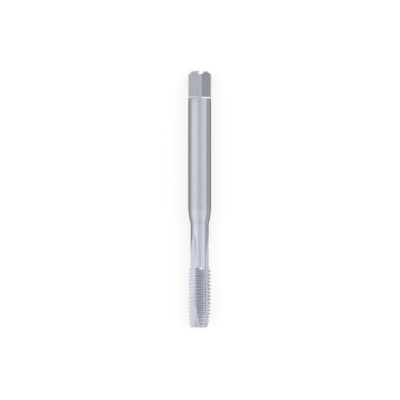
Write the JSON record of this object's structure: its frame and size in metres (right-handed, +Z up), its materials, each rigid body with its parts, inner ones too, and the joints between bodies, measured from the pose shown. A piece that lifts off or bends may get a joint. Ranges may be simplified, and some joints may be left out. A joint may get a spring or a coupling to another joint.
{
  "type": "machine tap",
  "caption": "Machine tap with a spiral point, straight flutes, a reduced neck, a round shank and a square drive; cuts a right-hand metric thread.",
  "frame": {"origin": "below the middle of the tap, on the surface it lies on", "axes": "+Y along the tap's axis towards the square drive, +Z up, +X across; the tap lies on its side"},
  "size_m": [0.008, 0.09, 0.008],
  "materials": {
    "ground_high_speed_steel": "bright ground: cylindrical grinding marks round the shank and neck, lengthwise marks in the flutes"
  },
  "bodies": {
    "root": {"machine_tap": "ground_high_speed_steel"}
  },
  "joints": []
}
